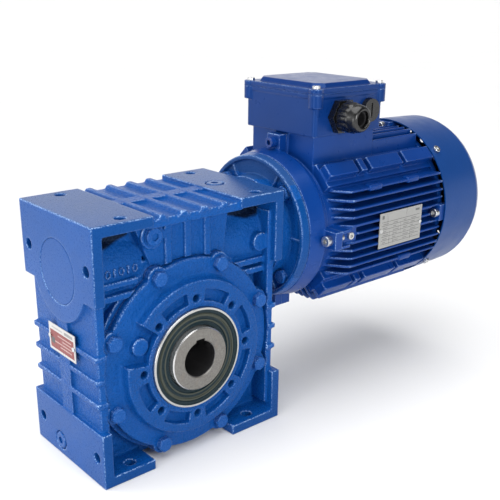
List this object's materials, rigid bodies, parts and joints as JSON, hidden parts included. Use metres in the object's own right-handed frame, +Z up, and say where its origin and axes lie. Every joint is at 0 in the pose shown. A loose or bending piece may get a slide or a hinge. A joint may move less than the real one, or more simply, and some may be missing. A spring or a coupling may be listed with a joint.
{
  "type": "worm gearbox",
  "caption": "Foot-mounted worm gearbox with a hollow keyed output shaft, bolted output covers, and a finned flange-mounted electric motor with a terminal box and fan cowl.",
  "frame": {"origin": "centre of the hollow output shaft, midway between its two ends", "axes": "+Y along the output shaft towards the rear cover, +X along the worm towards the motor, +Z up from the foot"},
  "size_m": [0.6078, 0.226, 0.4075],
  "materials": {
    "gear_paint": "rough cast, royal blue paint",
    "motor_paint": "smooth die cast, glossy dark blue paint",
    "cowl_paint": "pressed sheet, blue paint",
    "machined_iron": "turned, oiled",
    "bronze": "machined bronze",
    "steel": "ground steel",
    "bearing_steel": "polished bearing steel",
    "zinc": "zinc plated",
    "painted_bolt": "steel painted over in blue",
    "seal_rubber": "dark teal nitrile rubber with steel case",
    "gasket_paper": "compressed fibre",
    "black_plastic": "black nylon",
    "fan_plastic": "black nylon",
    "copper": "enamelled copper wire",
    "lamination": "stacked laminations",
    "label": "printed plate, white with a red field",
    "silver_plate": "brushed plate with fine lines"
  },
  "bodies": {
    "gear_case": {"gear_housing": "gear_paint", "output_cover_front": "gear_paint", "output_cover_rear": "gear_paint", "cover_gasket_front": "gasket_paper", "cover_gasket_rear": "gasket_paper", "output_seal_front": "seal_rubber", "output_seal_rear": "seal_rubber", "cover_bolts_front": "painted_bolt", "cover_bolts_rear": "painted_bolt", "worm_end_cap": "gear_paint", "worm_bearing_circlips": "steel", "input_seal": "seal_rubber", "oil_plugs": "painted_bolt", "oil_plug_washers": "painted_bolt", "output_bearing_outer_races": "bearing_steel", "worm_bearing_outer_races": "bearing_steel", "input_flange": "gear_paint", "input_flange_screws": "zinc", "motor_bolts": "painted_bolt", "drive_end_shield": "motor_paint", "motor_frame": "motor_paint", "rear_end_shield": "motor_paint", "drive_end_screws": "zinc", "rear_end_screws": "zinc", "stator_core": "lamination", "stator_windings": "copper", "motor_bearing_outer_races": "bearing_steel", "wave_washer": "steel", "fan_cowl": "cowl_paint", "cowl_screws": "zinc", "terminal_box_body": "motor_paint", "terminal_box_gasket": "gasket_paper", "terminal_box_lid": "motor_paint", "lid_screws": "zinc", "box_screws": "zinc", "terminal_block": "fan_plastic", "terminal_studs": "bronze", "cable_gland_body": "black_plastic", "cable_gland_seal": "fan_plastic", "cable_gland_nut": "black_plastic", "blanking_plug": "black_plastic", "gear_label_plate": "label", "motor_nameplate": "silver_plate", "plate_rivets": "zinc", "earth_screw": "zinc"},
    "output_shaft": {"hollow_output_shaft": "machined_iron", "worm_wheel_rim": "bronze", "wheel_rim_screws": "zinc", "output_bearing_inner_races": "bearing_steel"},
    "worm_and_rotor": {"worm_shaft": "steel", "worm_bearing_inner_races": "bearing_steel", "motor_shaft": "steel", "shaft_key": "steel", "rotor_core": "lamination", "motor_bearing_inner_races": "bearing_steel", "cooling_fan": "fan_plastic", "fan_circlip": "steel"},
    "output_ball_sets": {"output_bearing_ball_sets": "bearing_steel"},
    "worm_ball_sets": {"worm_bearing_ball_sets": "bearing_steel"},
    "motor_ball_sets": {"motor_bearing_ball_sets": "bearing_steel"}
  },
  "joints": [
    {"name": "worm_spin", "type": "hinge", "parent": "gear_case", "child": "worm_and_rotor", "pos_m": [0, 0, 0.11], "axis": [1, 0, 0], "continuous": true},
    {"name": "output_spin", "type": "hinge", "parent": "gear_case", "child": "output_shaft", "pos_m": [0, 0, 0], "axis": [0, 1, 0], "continuous": true},
    {"name": "output_balls_orbit", "type": "hinge", "parent": "gear_case", "child": "output_ball_sets", "pos_m": [0, 0, 0], "axis": [0, 1, 0], "continuous": true},
    {"name": "worm_balls_orbit", "type": "hinge", "parent": "gear_case", "child": "worm_ball_sets", "pos_m": [0, 0, 0.11], "axis": [1, 0, 0], "continuous": true},
    {"name": "motor_balls_orbit", "type": "hinge", "parent": "gear_case", "child": "motor_ball_sets", "pos_m": [0, 0, 0.11], "axis": [1, 0, 0], "continuous": true}
  ],
  "couplings": [
    {"joint": "output_spin", "follows": "worm_spin", "ratio": -0.033333},
    {"joint": "output_balls_orbit", "follows": "worm_spin", "ratio": -0.014491},
    {"joint": "worm_balls_orbit", "follows": "worm_spin", "ratio": 0.39667},
    {"joint": "motor_balls_orbit", "follows": "worm_spin", "ratio": 0.38627}
  ]
}
